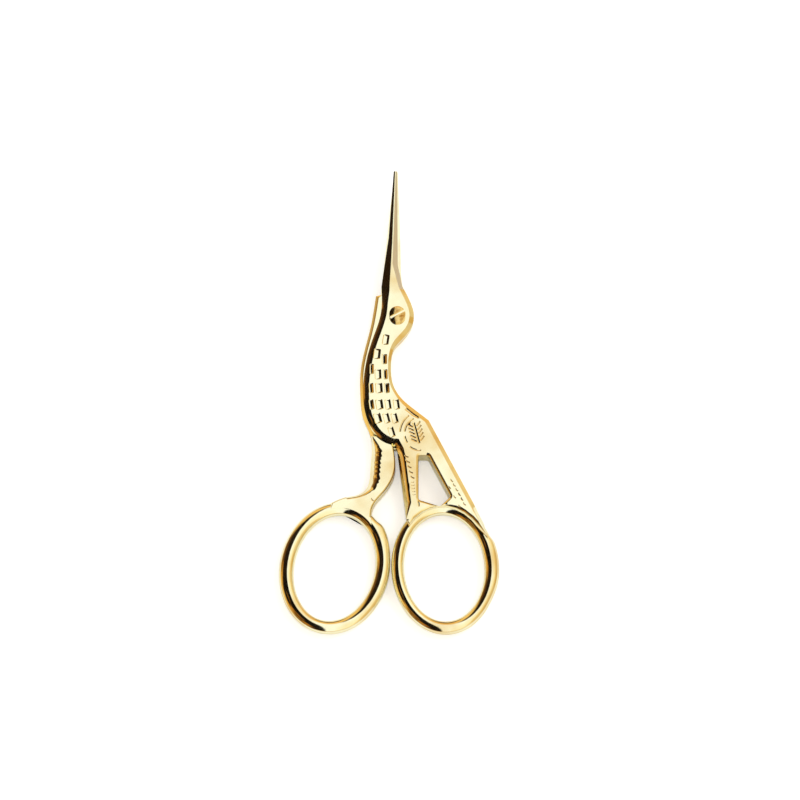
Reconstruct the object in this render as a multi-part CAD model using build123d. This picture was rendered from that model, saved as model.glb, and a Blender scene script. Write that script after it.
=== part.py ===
from build123d import *
import os
from math import cos, radians, sin, sqrt

# Stork embroidery scissors, lying flat and shut. The pivot axis is +Z through the origin, the blades
# point along +Y, the finger rings lie towards -Y, and z = 0 is the outer face of the back half.
# All sizes are in millimetres. A share is a fraction of the named size that it is used with.

# Thickness across the pivot axis
plate_thickness = 2.0     # each half, on its own side of the shear plane
shear_gap = 0.05          # running gap between the two flat inner faces
limb_reach = 1.45         # how far tail, legs and rings cross the shear plane
edge_bevel = 0.6          # bevel round the outer face of each half
limb_bevel = 0.35         # bevel on the far side of the limbs
overrun = 1.0             # every cut runs this far past the face that it leaves

# Blades
blade_length = 29.9       # pivot axis to tip
blade_root = 6.0          # pivot axis to where blade and plate meet
spine_reach = 3.05        # blade at its root, from the pivot axis towards -X
edge_reach = 1.0          # blade at its root, from the pivot axis towards +X
facet_run = 5.0           # how far the spine facet runs on along the head

# Head, neck and body of the bird
head_radius = 3.15        # pivot axis to the crown of the head
body_length = 26.3        # pivot axis to the fork of the two legs
body_width = 6.45         # pivot axis to the breast
tail_width = 5.95         # pivot axis to the hip, where the tail begins
shoulder_width = 4.2      # pivot axis to the shoulder of the back half
hidden_inset = 0.35       # how far the back half stays behind the front half's back
limb_gap = 0.15           # clearance between one half's plate and the other half's limb

# Legs, and the window between the right leg and the tail
leg_length = 10.5         # fork to the top of the finger rings
leg_width = 4.3           # left leg
fork_gap = 0.75           # pivot axis to the left leg, beside the fork
window_left = 4.0         # pivot axis to the near edge of the window
window_drop = 1.7         # fork to the top of the window
window_rim = 3.35         # tail metal left outside the window
window_bridge = 1.2       # metal between the window and the ring opening
window_round = 0.4        # corner radius of the window

# Finger rings
opening_width = 15.1
opening_height = 21.1
left_ring_side = 2.85     # band width at the sides of the left ring
right_ring_side = 2.45    # band width at the sides of the right ring
ring_end = 2.55           # band width at the top and bottom of both
ring_thickness = 2.6
ring_round = 1.1          # rounding of the band's four edges
ring_gap = 0.15           # between the two rings when shut
ring_meeting = 1.25       # pivot axis to the line where the rings meet, towards -X
left_lean = 11.5          # degrees, the left ring's top leans towards the pivot
right_lean = 3.0          # degrees, the right ring's top leans towards the pivot
pad_rise = 0.4            # finger pad on the right ring's outer side
pad_length = 10.5
pad_thickness = 1.6

# Where tail and legs meet the rings: degrees from a ring's top towards +X, and shares of its band
tail_join = 52.0
right_leg_join = -46.0
right_leg_outside = -43.0
left_leg_join = 36.0
left_leg_middle = 8.0
left_leg_outside = -20.0
tail_join_share = 1.05
leg_join_share = 0.9
band_middle_share = 0.5

# Pivot screw
shank_diameter = 2.2      # bearing length, in the front half
thread_diameter = 1.8     # threaded length, in the back half
screw_head_diameter = 3.1
screw_head_height = 1.1
screw_head_bevel = 0.2
slot_width = 0.38
slot_depth = 0.5
slot_angle = 29.0         # degrees from +X
bearing_gap = 0.04        # radial running gap round the shank
thread_gap = 0.02         # radial gap round the thread
seat_gap = 0.03           # under the head
thread_recess = 0.1       # the thread's end, below the outer face of the back half

# Engraving on the front face
feather_width = 1.3
feather_height = 2.1
feather_round = 0.4
feather_depth = 0.35
feather_slant = 12.0      # degrees
medal_radius = 2.4
medal_line = 0.25
medal_depth = 0.15

# Heights of the faces
back_inner = plate_thickness
front_inner = back_inner + shear_gap
front_outer = front_inner + plate_thickness
front_limb_low = front_inner - limb_reach
back_limb_high = back_inner + limb_reach
middle = (back_inner + front_inner) / 2

# Outlines: shares of a width across and of the body's length along
crown_shares = [(0.76, 0.118), (1.0, 0.004), (0.70, -0.114), (-0.20, -0.25)]
nape_shares = [(-0.39, -0.39), (-0.26, -0.525), (0.16, -0.616), (1.0, -0.709)]
hip_share = 0.795
breast_shares = [(-0.49, 0.02), (-0.75, -0.19), (-0.97, -0.43), (-1.0, -0.65)]
heel_shares = [(-0.80, -0.838), (-0.40, -0.949), (-0.08, -0.977)]
back_breast_shares = [
    (-0.767, -0.92), (-0.857, -0.844), (-0.998, -0.76), (-1.085, -0.608),
    (-1.093, -0.418), (-0.974, -0.24), (-0.806, -0.072), (-0.70, 0.095),
]
heel_start_share = 0.93   # where the left limb begins, of the radius of the body's lower edge
fork_share = 0.06         # of the leg's length, below the body's end
waist_across_share = 0.30  # of the leg's width
waist_along_share = 1.08  # of the leg's length
# Left leg: shares of its width from its inner edge, and of its length from the fork
inner_leg_shares = [(-0.05, 0.46), (0.20, 0.71), (0.50, 0.88), (0.84, 1.06)]
outer_leg_shares = [(2.05, 0.925), (1.50, 0.87), (1.22, 0.76), (1.06, 0.57), (1.0, 0.27)]
window_right_share = 0.81  # of the window's height, where its slanting side ends
window_left_share = 0.87  # of the window's height, where its upright side ends
window_low_share = 0.68   # of the window's greatest width, its lowest corner

# Blades from root to tip: station along the blade, spine and edge as shares of their reach, ridge and
# land's far side from spine to edge, then spine, edge and crest heights as shares of the plate
front_blade_shares = [
    (0.00, 1.00, 1.00, 0.40, 0.84, 0.40, 0.70, 1.00),
    (0.19, 0.80, 0.06, 0.48, 0.63, 0.30, 0.10, 0.88),
    (0.42, 0.55, 0.03, 0.31, 0.53, 0.25, 0.08, 0.70),
    (1.00, 0.235, -0.05, 0.40, 0.63, 0.10, 0.04, 0.275),
]
back_blade_shares = [
    (0.00, 0.90, 1.02, 0.40, 0.84, 0.40, 0.70, 1.00),
    (0.19, 0.62, 0.84, 0.42, 0.60, 0.30, 0.10, 0.88),
    (0.42, 0.56, 0.66, 0.36, 0.53, 0.25, 0.08, 0.70),
    (1.00, 0.06, 0.20, 0.40, 0.63, 0.10, 0.04, 0.275),
]

# Feather pockets, row by row down the neck and breast: along, then the places across
feather_rows_shares = [
    (-0.185, [-0.34]),
    (-0.294, [-0.60]),
    (-0.334, [-0.38]),
    (-0.409, [-0.71]),
    (-0.450, [-0.55, -0.32]),
    (-0.555, [-0.74, -0.52, -0.29]),
    (-0.680, [-0.74, -0.51, -0.27, -0.02]),
    (-0.785, [-0.58, -0.33, -0.09]),
    (-0.890, [-0.17]),
]
medal_across_share = 0.62  # of the body's width
medal_along_share = 0.893  # of the body's length


def half_spread(lean, side):
    """Half the width, along X, of a finger ring that leans by this many degrees."""
    turn = radians(lean)
    across = (opening_width / 2 + side) * cos(turn)
    along = (opening_height / 2 + ring_end) * sin(turn)
    return sqrt(across**2 + along**2)


# Each ring: the place of its centre, its turn in degrees, and its band width at the sides
ring_y = -(body_length + leg_length + opening_height / 2 + ring_end)
left_ring_x = -ring_meeting - ring_gap / 2 - half_spread(left_lean, left_ring_side)
right_ring_x = -ring_meeting + ring_gap / 2 + half_spread(right_lean, right_ring_side)
LEFT_RING = (left_ring_x, ring_y, -left_lean, left_ring_side)
RIGHT_RING = (right_ring_x, ring_y, right_lean, right_ring_side)


def ring_point(ring, angle, depth_share):
    """Point of a ring's band: degrees from its top towards +X, and share of the band from the opening."""
    x, y, turn, side = ring
    across = (opening_width / 2 + depth_share * side) * sin(radians(angle))
    along = (opening_height / 2 + depth_share * ring_end) * cos(radians(angle))
    tilt = radians(turn)
    return (x + across * cos(tilt) - along * sin(tilt), y + across * sin(tilt) + along * cos(tilt))


def places(shares, width):
    """Outline points from shares of one width and of the body's length."""
    return [(width * across, body_length * along) for across, along in shares]


def on_circle(start, way, radius):
    """Where a line from start along way leaves a circle about the pivot axis."""
    (x, y), (u, v) = start, way
    along = x * u + y * v
    run = -along + sqrt(along**2 - (x**2 + y**2 - radius**2))
    return (x + run * u, y + run * v)


def upright(face, low, high):
    """Solid between two heights over a flat outline."""
    return Pos(0, 0, low) * extrude(face, amount=high - low)


def bevel_rim(solid, height, size, end):
    """Bevel the rim of one flat face, apart from its arcs, short edges and what lies past an end."""
    rim = [
        edge
        for edge in solid.edges()
        if abs(edge.center().Z - height) < size / 4
        and edge.geom_type != GeomType.CIRCLE
        and edge.length > 2 * size
        and edge.center().Y < end - size / 4
    ]
    return chamfer(rim, size)


def finger_ring(ring):
    """Rounded oval band for a finger."""
    x, y, turn, side = ring
    outer = Ellipse(opening_width / 2 + side, opening_height / 2 + ring_end)
    inner = Ellipse(opening_width / 2, opening_height / 2)
    band = extrude(outer - inner, amount=ring_thickness)
    band = fillet(band.edges().filter_by(GeomType.ELLIPSE), ring_round)
    return Pos(x, y, middle - ring_thickness / 2) * Rot(0, 0, turn) * band


def finger_pad(ring):
    """Low raised pad on the outer side of the right ring."""
    x, y, turn, side = ring
    outer = Ellipse(opening_width / 2 + side, opening_height / 2 + ring_end)
    inner = Ellipse(opening_width / 2 + side / 2, opening_height / 2 + ring_end / 2)
    crescent = Pos(pad_rise, 0) * outer - inner
    crescent &= Pos(opening_width / 2 + side, 0) * Rectangle(2 * side, pad_length)
    pad = extrude(crescent, amount=pad_thickness)
    return Pos(x, y, middle - pad_thickness / 2) * Rot(0, 0, turn) * pad


def blade(stations, spine_width, edge_width, inner, way):
    """Tapering blade with a flat inner face, a spine facet, a narrow land and a ground bevel."""
    sections = []
    for along, spine, edge, ridge, land, spine_high, edge_high, crest in stations:
        y = blade_root + along * (blade_length - blade_root)
        left, right = spine * spine_width, edge * edge_width
        width = right - left
        places_across = [left, left, left + ridge * width, left + land * width, right, right]
        heights = [0, spine_high, crest, crest, edge_high, 0]
        corners = [
            (x, y, inner + way * high * plate_thickness) for x, high in zip(places_across, heights)
        ]
        sections.append(Face(Wire.make_polygon(corners)))
    return loft(sections, ruled=True)


def facet_run_out(stations, spine_width, inner, outer, way):
    """Cut that lets a blade's spine facet run out along the head into the plate's own bevel."""
    edge_width = edge_reach if spine_width < 0 else -spine_reach
    spine, edge, ridge, spine_high = (stations[0][i] for i in (1, 2, 3, 5))
    left, right = spine * spine_width, edge * edge_width
    side = 1 if spine_width < 0 else -1
    sections = []
    for y, low, reach in [
        (blade_root, inner + way * spine_high * plate_thickness, ridge * abs(right - left)),
        (blade_root - facet_run, outer - way * edge_bevel, edge_bevel),
    ]:
        corners = [(left, y, low), (left + side * reach, y, outer), (left, y, outer)]
        shelf = [(left - side * overrun, y, low), (left - side * overrun, y, outer)]
        sections.append(Face(Wire.make_polygon([corners[0], corners[1], corners[2], shelf[1], shelf[0]])))
    return loft(sections, ruled=True)


def tail_line():
    """Start of the tail's straight edge at the hip, and its end on the right ring."""
    return (tail_width, -hip_share * body_length), ring_point(RIGHT_RING, tail_join, tail_join_share)


def tail_way():
    """Unit direction of the tail's straight edge."""
    (x0, y0), (x1, y1) = tail_line()
    run = sqrt((x1 - x0) ** 2 + (y1 - y0) ** 2)
    return ((x1 - x0) / run, (y1 - y0) / run)


def front_outline():
    """Head, body, tail and right leg of the bird, seen from above."""
    hip, tail_end = tail_line()
    start, top = (edge_reach, blade_root), (-spine_reach, blade_root)
    back = Spline([start] + places(crown_shares, head_radius) + places(nape_shares, head_radius) + [hip])
    ring_left = ring_point(RIGHT_RING, right_leg_join, band_middle_share)
    across = ThreePointArc(tail_end, ring_point(RIGHT_RING, 0, band_middle_share), ring_left)
    waist = (leg_width * waist_across_share, -body_length - leg_length * waist_along_share)
    fork = (0, -body_length - leg_length * fork_share)
    outside = ring_point(RIGHT_RING, right_leg_outside, leg_join_share)
    leg = Polyline([ring_left, outside, waist, fork])
    breast = places(heel_shares[::-1] + breast_shares[::-1], body_width)
    heel, front = Line(fork, breast[0]), Spline(breast + [top])
    return make_face([back, Line(hip, tail_end), across, *leg.edges(), heel, front, Line(top, start)])


def back_outline():
    """Shoulder, body and left leg of the back half, seen from above."""
    start, top = (edge_reach, blade_root), (-shoulder_width, blade_root)
    crown = places(crown_shares, head_radius) + places(nape_shares, head_radius)
    hidden = [(x - hidden_inset, y) for x, y in [start] + crown + [tail_line()[0]]]
    radius = body_length - limb_gap
    rump = on_circle(hidden[-1], tail_way(), radius)
    fork = (-fork_gap, -sqrt(radius**2 - fork_gap**2))
    under = ThreePointArc(rump, (0, -radius), fork)
    inner = [(-fork_gap - a * leg_width, -body_length - b * leg_length) for a, b in inner_leg_shares]
    outer = [(-fork_gap - a * leg_width, -body_length - b * leg_length) for a, b in outer_leg_shares]
    ring_right = ring_point(LEFT_RING, left_leg_join, band_middle_share)
    ring_left = ring_point(LEFT_RING, left_leg_outside, leg_join_share)
    across = ThreePointArc(ring_right, ring_point(LEFT_RING, left_leg_middle, band_middle_share), ring_left)
    breast = places(back_breast_shares, body_width)
    return make_face([
        Spline(hidden),
        Line(hidden[-1], rump),
        under,
        Spline([fork] + inner + [ring_right]),
        across,
        Spline([ring_left] + outer + breast + [top]),
        Line(top, hidden[0]),
    ])


def window():
    """Opening between the right leg and the tail."""
    (x, y), (u, v) = tail_line()[0], tail_way()
    x, y = x + v * window_rim, y - u * window_rim
    high = -(body_length + window_drop)
    low = ring_y + opening_height / 2 + window_bridge
    height = high - low

    def slant(level):
        """Place across of the slanting side at one level."""
        return x + (level - y) * u / v

    right = high - window_right_share * height
    outline = [
        (window_left, high),
        (slant(high), high),
        (slant(right), right),
        (window_left + window_low_share * (slant(right) - window_left), low),
        (window_left, high - window_left_share * height),
    ]
    face = make_face(Polyline(outline, close=True))
    return upright(fillet(face.vertices(), window_round), front_limb_low - overrun, front_outer + overrun)


def feathers():
    """Slanted pockets down the neck and breast."""
    outline = RectangleRounded(feather_width, feather_height, feather_round)
    pocket = extrude(outline, amount=feather_depth + overrun)
    pockets = []
    for along, row in feather_rows_shares:
        for across in row:
            place = Pos(across * body_width, along * body_length, front_outer - feather_depth)
            pockets.append(place * Rot(0, 0, feather_slant) * pocket)
    return pockets


def medal():
    """Round engraved line on the wing."""
    line = Circle(medal_radius) - Circle(medal_radius - medal_line)
    place = Pos(medal_across_share * body_width, -medal_along_share * body_length, front_outer - medal_depth)
    return place * extrude(line, amount=medal_depth + overrun)


def front_half():
    """The half with the bird's face: blade, body, tail, right leg and right ring in one forging."""
    plate = bevel_rim(upright(front_outline(), front_inner, front_outer), front_outer, edge_bevel, blade_root)
    plate -= facet_run_out(front_blade_shares, -spine_reach, front_inner, front_outer, 1)
    limb = upright(front_outline() - Circle(body_length), front_limb_low, front_inner)
    limb = bevel_rim(limb, front_limb_low, limb_bevel, -body_length)
    body = plate + limb + finger_ring(RIGHT_RING) + finger_pad(RIGHT_RING)
    body += blade(front_blade_shares, -spine_reach, edge_reach, front_inner, 1)
    bearing = Cylinder(shank_diameter / 2 + bearing_gap, 2 * (front_outer + overrun))
    return body - window() - bearing - feathers() - medal()


def back_half():
    """The half beneath: blade, body, left leg and left ring in one forging."""
    outline = back_outline()
    plate = bevel_rim(upright(outline, 0, back_inner), 0, edge_bevel, blade_root)
    plate -= facet_run_out(back_blade_shares, edge_reach, back_inner, 0, -1)
    clear = scale(front_outline(), by=1 + limb_gap / body_length)
    limb = outline - clear - Circle((body_length - limb_gap) * heel_start_share)
    limb = bevel_rim(upright(limb, back_inner, back_limb_high), back_limb_high, limb_bevel, -body_length)
    body = plate + limb + finger_ring(LEFT_RING)
    body += blade(back_blade_shares, edge_reach, -spine_reach, back_inner, -1)
    return body - Cylinder(thread_diameter / 2 + thread_gap, 2 * (back_inner + overrun))


def pivot_screw():
    """Slotted screw: head over the front half, bearing shank, and thread in the back half."""
    seat = front_outer + seat_gap
    head = extrude(Circle(screw_head_diameter / 2), amount=screw_head_height)
    head = Pos(0, 0, seat) * chamfer(head.edges().sort_by(Axis.Z)[-1], screw_head_bevel)
    slot_floor = seat + screw_head_height - slot_depth
    slot = extrude(Rectangle(screw_head_diameter + overrun, slot_width), amount=slot_depth + overrun)
    head -= Pos(0, 0, slot_floor) * Rot(0, 0, slot_angle) * slot
    shank = upright(Circle(shank_diameter / 2), back_inner, seat)
    return head + shank + upright(Circle(thread_diameter / 2), thread_recess, back_inner)


os.makedirs("parts", exist_ok=True)
for name, solid in [("front_half", front_half()), ("back_half", back_half()), ("pivot_screw", pivot_screw())]:
    print(name, "volume", round(solid.volume, 1), "solids", len(solid.solids()), "centre", solid.center())
    export_step(solid, os.path.join("parts", name + ".step"))
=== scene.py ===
"""Stork embroidery scissors: two gold-plated halves, their pivot screw, and a pale studio floor."""

import logging
import math
from dataclasses import dataclass
from enum import Enum
from typing import Any

import bmesh
import bpy
import numpy
from bmesh.types import BMesh
from bpy.types import Material, Node, NodeSocket, NodeTree, Object, World
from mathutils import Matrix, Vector

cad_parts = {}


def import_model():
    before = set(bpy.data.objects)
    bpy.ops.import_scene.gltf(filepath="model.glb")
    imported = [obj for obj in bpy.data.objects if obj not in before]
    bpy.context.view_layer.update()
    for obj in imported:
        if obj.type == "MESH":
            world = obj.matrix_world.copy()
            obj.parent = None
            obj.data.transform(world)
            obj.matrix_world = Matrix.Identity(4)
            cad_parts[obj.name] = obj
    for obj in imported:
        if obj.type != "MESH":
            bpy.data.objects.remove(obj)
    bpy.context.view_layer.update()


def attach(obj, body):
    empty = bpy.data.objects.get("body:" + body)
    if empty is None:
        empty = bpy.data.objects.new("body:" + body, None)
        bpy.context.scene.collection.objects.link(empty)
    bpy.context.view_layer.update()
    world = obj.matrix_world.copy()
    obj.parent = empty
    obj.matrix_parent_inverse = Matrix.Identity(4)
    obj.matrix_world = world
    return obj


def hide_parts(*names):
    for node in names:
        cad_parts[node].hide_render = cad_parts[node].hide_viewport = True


MM = 0.001          # pieces are drawn in millimetres and brought to metres at the end
PLACE = "place"     # vertex layer: number along the outline
LEVEL = "level"     # vertex layer: number up the wall
RIM_STEPS = 6       # segments from a wall to a face
MERGE = 0.0005      # points nearer to each other than this become one, mm
SLIVER = 0.001      # edges shorter than this are dissolved, mm
LIFT = 0.1          # any step will do, because the raised points are then placed, mm
INSIDE = 0.02       # how far a limb stays inside the outline that it joins, mm
SHARP_BEND = 0.6    # keeps the inset at a sharp bend from running away
MIX = ("ShaderNodeMix", {"data_type": "RGBA"})
LOG = logging.getLogger("scissors")

Point = tuple[float, float]
Ring = tuple[float, float, float, float]
Stroke = tuple[float, list[Point]]


class Cut(Enum):
    """How one solid acts on another."""

    ADD = "UNION"
    TAKE = "DIFFERENCE"


class Layer(Enum):
    """Which of the two halves a part belongs to."""

    FRONT = "front"
    BACK = "back"


def unit(x: float, y: float) -> Vector:
    """Flat unit vector along x and y."""
    return Vector((x, y, 0.0)).normalized()


def only(piece: Object) -> None:
    """Deselect everything, then select one object and make it the active one.

    Args:
        piece: the object to select.
    """
    for other in bpy.context.selected_objects:
        other.select_set(False)
    piece.select_set(True)
    bpy.context.view_layer.objects.active = piece


def edit(piece: Object) -> BMesh:
    """Open one object in edit mode with nothing selected.

    Args:
        piece: the mesh object.

    Returns:
        Its edit mesh.
    """
    only(piece)
    bpy.ops.object.mode_set(mode="EDIT")
    bpy.ops.mesh.select_mode(type="FACE")
    bpy.ops.mesh.select_all(action="DESELECT")
    return bmesh.from_edit_mesh(piece.data)


def close(piece: Object, outwards: bool = False) -> Object:
    """Leave edit mode, with the faces turned outwards where asked.

    Args:
        piece: the object in edit mode.
        outwards: whether its normals are recalculated.

    Returns:
        The same object.
    """
    bmesh.update_edit_mesh(piece.data)
    if outwards:
        bpy.ops.mesh.select_all(action="SELECT")
        bpy.ops.mesh.normals_make_consistent(inside=False)
    bpy.ops.object.mode_set(mode="OBJECT")
    return piece


def combine(piece: Object, tool: Object, how: Cut) -> None:
    """Add or cut one solid and delete it.

    Args:
        piece: the solid that stays.
        tool: the solid that is added or cut away.
        how: which of the two.
    """
    only(piece)
    step = piece.modifiers.new(how.value, "BOOLEAN")
    step.operation, step.object, step.solver = how.value, tool, "EXACT"
    bpy.ops.object.modifier_apply(modifier=step.name)
    bpy.data.objects.remove(tool)
    edit(piece)
    bpy.ops.mesh.select_all(action="SELECT")
    bpy.ops.mesh.remove_doubles(threshold=MERGE)
    close(piece)


def curve_through(points: list[Point], pitch: float = 0.3) -> list[Point]:
    """Natural cubic curve through a few chosen points, without its last one.

    Args:
        points: the points to pass through.
        pitch: distance between the points of the result.

    Returns:
        The curve's points.
    """
    places = numpy.array(points, float)
    gaps = numpy.hypot(*numpy.diff(places, axis=0).T)
    count = len(points)
    system = numpy.eye(count)
    right = numpy.zeros((count, 2))
    for i in range(1, count - 1):
        system[i, i - 1 : i + 2] = gaps[i - 1], 2 * (gaps[i - 1] + gaps[i]), gaps[i]
        right[i] = 6 * ((places[i + 1] - places[i]) / gaps[i] - (places[i] - places[i - 1]) / gaps[i - 1])
    bend = numpy.linalg.solve(system, right)
    result = []
    for i, gap in enumerate(gaps):
        steps = max(2, round(gap / pitch))
        for share in numpy.arange(steps) / steps:
            near, far = (1 - share) * gap, share * gap
            spot = (bend[i] * near**3 + bend[i + 1] * far**3) / (6 * gap)
            spot = spot + (places[i] / gap - bend[i] * gap / 6) * near
            spot = spot + (places[i + 1] / gap - bend[i + 1] * gap / 6) * far
            result.append((float(spot[0]), float(spot[1])))
    return result


def straight(start: Point, end: Point, pitch: float = 0.6) -> list[Point]:
    """Points along a straight line, without its end.

    Args:
        start: first point.
        end: last point, which is left out.
        pitch: distance between points.

    Returns:
        The points.
    """
    (x0, y0), (x1, y1) = start, end
    count = max(1, round(math.hypot(x1 - x0, y1 - y0) / pitch))
    return [(x0 + (x1 - x0) * i / count, y0 + (y1 - y0) * i / count) for i in range(count)]


def arc(radius: float, start: Point, end: Point, count: int = 16) -> list[Point]:
    """Points of a circle about the pivot axis between two directions, without the last.

    Args:
        radius: the circle's radius.
        start: a point in the first direction.
        end: a point in the last direction.
        count: number of points.

    Returns:
        The points.
    """
    first, last = math.atan2(start[1], start[0]), math.atan2(end[1], end[0])
    turns = [first + (last - first) * i / count for i in range(count)]
    return [(radius * math.cos(turn), radius * math.sin(turn)) for turn in turns]


def rounded(outline: list[Point], radius: float, steps: int = 5) -> list[Point]:
    """Outline with each of its corners rounded.

    Args:
        outline: the sharp corners.
        radius: size of the rounding along each side.
        steps: segments at each corner.

    Returns:
        The rounded outline's points.
    """
    result = []
    for i, (x, y) in enumerate(outline):
        before, after = outline[i - 1], outline[(i + 1) % len(outline)]
        back, on = unit(before[0] - x, before[1] - y), unit(after[0] - x, after[1] - y)
        for step in range(steps + 1):
            near, far = (1 - step / steps) ** 2 * radius, (step / steps) ** 2 * radius
            result.append((x + back.x * near + on.x * far, y + back.y * near + on.y * far))
    return result


def blend(low: float, high: float, value: float) -> float:
    """Smooth share from 0 at low to 1 at high."""
    share = min(1.0, max(0.0, (value - low) / (high - low)))
    return share * share * (3 - 2 * share)


@dataclass(frozen=True)
class Rim:
    """How an edge is finished: width across, height down, and power, 1 for a flat bevel and 2 for an arc."""

    width: float = 0.02
    height: float = 0.02
    power: float = 1.0

    def step(self, share: float) -> Point:
        """Inset and drop at a share of the way from the wall to the face."""
        return self.width * share, self.height * (1 - share) ** self.power

    def towards(self, other: "Rim", share: float) -> "Rim":
        """Rim that lies a share of the way to another one.

        Args:
            other: the other rim.
            share: 0 for this rim, 1 for the other.

        Returns:
            The rim between them.
        """
        return Rim(
            self.width + (other.width - self.width) * share,
            self.height + (other.height - self.height) * share,
            self.power + (other.power - self.power) * share,
        )


@dataclass
class Corner:
    """One point of a plate's outline, with its rims and the way that they run inwards."""

    x: float
    y: float
    upper: Rim = Rim()
    lower: Rim = Rim()
    inward: Vector | None = None

    def point(self, level: int, low: float, high: float) -> Vector:
        """Place of the wall's point at one level, between two heights.

        Args:
            level: number up the wall.
            low: height of the lower face.
            high: height of the upper face.

        Returns:
            The place.
        """
        if level <= RIM_STEPS:
            inset, drop = self.lower.step(1 - level / RIM_STEPS)
            z = low + drop
        else:
            inset, drop = self.upper.step((level - RIM_STEPS - 1) / RIM_STEPS)
            z = high - drop
        return Vector((self.x, self.y, z)) + self.inward * inset


Section = tuple[Corner, Corner, float, float]


def set_inwards(corners: list[Corner]) -> None:
    """Give each corner of an anticlockwise outline its inward direction, longer at a bend.

    Args:
        corners: the outline's corners.
    """
    count = len(corners)
    for i, here in enumerate(corners):
        if here.inward is not None:
            continue
        before, after = corners[i - 1], corners[(i + 1) % count]
        first = unit(here.x - before.x, here.y - before.y)
        second = unit(after.x - here.x, after.y - here.y)
        along = (first + second).normalized()
        here.inward = Vector((-along.y, along.x, 0)) / max(SHARP_BEND, along.dot(second))


def shift_inwards(corners: list[Corner], way: float) -> None:
    """Move an outline inwards by some distance, or outwards where it is negative.

    Args:
        corners: the outline's corners.
        way: the distance.
    """
    for corner in corners:
        corner.x += way * corner.inward.x
        corner.y += way * corner.inward.y


def raise_selection(piece: Object) -> BMesh:
    """Extrude what is selected and return the edit mesh, with the new part selected.

    Args:
        piece: the object in edit mode.

    Returns:
        Its edit mesh.
    """
    bmesh.update_edit_mesh(piece.data)
    bpy.ops.mesh.extrude_region_move(TRANSFORM_OT_translate={"value": (0, 0, LIFT)})
    return bmesh.from_edit_mesh(piece.data)


def struck(name: str, corners: list[Corner], low: float, high: float) -> Object:
    """Flat plate with shaped rims: an outline, extruded step by step in edit mode.

    Args:
        name: the object's name.
        corners: its outline, anticlockwise from above.
        low: height of the lower face.
        high: height of the upper face.

    Returns:
        The plate.
    """
    set_inwards(corners)
    bpy.ops.mesh.primitive_circle_add(vertices=len(corners), radius=1, fill_type="NGON")
    plate = bpy.context.object
    plate.name = name
    shape = edit(plate)
    place = shape.verts.layers.int.new(PLACE)
    level = shape.verts.layers.int.new(LEVEL)
    for i, corner in enumerate(shape.faces[:][0].loops):
        corner.vert[place] = i
    shape.faces[:][0].select_set(True)
    for turn in range(2 * RIM_STEPS + 2):
        if turn:
            shape = raise_selection(plate)
            place, level = shape.verts.layers.int[PLACE], shape.verts.layers.int[LEVEL]
        for vert in shape.verts:
            if vert.select:
                vert[level] = turn
                vert.co = corners[vert[place]].point(turn, low, high)
    return close(plate, outwards=True)


def tapered(plate: Object, ends: tuple[int, int], stations: list[Section]) -> None:
    """Draw a plate's straight end out into a blade, station by station.

    Args:
        plate: the plate, as made by struck.
        ends: numbers of the two outline corners at its end, left and right.
        stations: left and right corner and the heights of the two faces, at each station.
    """
    shape = edit(plate)
    place = shape.verts.layers.int[PLACE]
    for face in shape.faces:
        face.select_set(all(vert[place] in ends for vert in face.verts))
    for left, right, low, high in stations:
        shape = raise_selection(plate)
        place, level = shape.verts.layers.int[PLACE], shape.verts.layers.int[LEVEL]
        for vert in shape.verts:
            if vert.select:
                corner = left if vert[place] == ends[0] else right
                vert.co = corner.point(vert[level], low, high)
    close(plate, outwards=True)


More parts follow.
